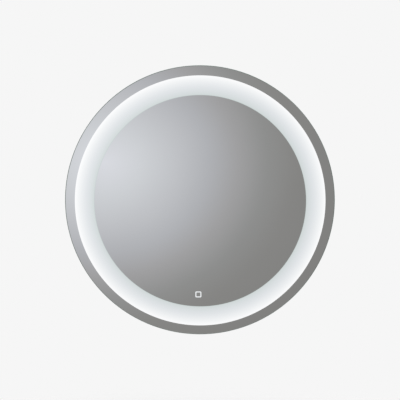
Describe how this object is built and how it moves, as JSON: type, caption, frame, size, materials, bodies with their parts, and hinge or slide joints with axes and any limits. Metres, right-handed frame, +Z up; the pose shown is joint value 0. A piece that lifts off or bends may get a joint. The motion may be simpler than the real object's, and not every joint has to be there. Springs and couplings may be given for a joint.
{
  "type": "lighted bathroom mirror",
  "caption": "Round frameless wall mirror with a frosted back-lit ring and a touch icon, hung by its own rail on a wall rail and lifted off upwards.",
  "frame": {"origin": "midway between the two wall screw holes, on the wall plane behind the wall rail", "axes": "+Z up, +Y into the wall, the mirror faces -Y, +X to the right of someone looking into the mirror"},
  "size_m": [0.5999, 0.04, 0.6],
  "materials": {
    "anodised_aluminium": "satin anodised",
    "black_rubber": "moulded",
    "brass": "turned",
    "capacitor_sleeve": "shrink sleeve",
    "chip_resistor": "ceramic",
    "circuit_board": "green solder mask",
    "ferrite": "ferrite core and taped coil",
    "flex_circuit": "white solder mask",
    "foam_tape": "closed-cell acrylic foam",
    "grey_plastic": "moulded",
    "heating_film": "printed polyester film",
    "lead_black": "PVC",
    "lead_brown": "PVC",
    "lead_green": "PVC",
    "lead_white": "PVC",
    "led_package": "phosphor over white package",
    "powder_white": "white powder coat",
    "silvered_glass": "polished float glass, silvered behind",
    "white_plastic": "moulded",
    "zinc_steel": "zinc plated"
  },
  "bodies": {
    "wall_hanger": {"wall_rail": "zinc_steel"},
    "mirror": {"back_panel": "powder_white", "bonding_tape": "foam_tape", "bumper_screws": "zinc_steel", "clamp_screws": "zinc_steel", "cord_clamp": "white_plastic", "demister_leads": "lead_white", "demister_lug": "black_rubber", "demister_pad": "heating_film", "driver_board": "circuit_board", "driver_capacitors": "capacitor_sleeve", "driver_case": "white_plastic", "driver_lid": "white_plastic", "driver_screws": "zinc_steel", "driver_terminals": "grey_plastic", "driver_transformer": "ferrite", "earth_lead": "lead_green", "earth_nuts": "zinc_steel", "earth_stud": "zinc_steel", "earth_tag": "brass", "earth_washer": "zinc_steel", "entry_grommet": "black_rubber", "frame_ring": "anodised_aluminium", "lead_clips": "white_plastic", "led_leads": "lead_white", "led_packages": "led_package", "led_resistors": "chip_resistor", "led_strip": "flex_circuit", "load_screws": "brass", "mains_leads": "lead_brown", "mirror_pane": "silvered_glass", "mirror_rail": "zinc_steel", "panel_screws": "zinc_steel", "rail_rivets": "anodised_aluminium", "sensor_board": "circuit_board", "sensor_housing": "grey_plastic", "sensor_led": "led_package", "sensor_pad": "foam_tape", "splice_bar": "zinc_steel", "splice_screws": "zinc_steel", "supply_screws": "brass", "terminal_block": "white_plastic", "terminal_box": "white_plastic", "terminal_cover": "powder_white", "terminal_cover_screws": "zinc_steel", "touch_leads": "lead_black", "wall_bumpers": "black_rubber"}
  },
  "joints": [
    {"name": "lift_off", "type": "slide", "parent": "wall_hanger", "child": "mirror", "axis": [0, 0, 1], "range_m": [0, 0.015]}
  ]
}
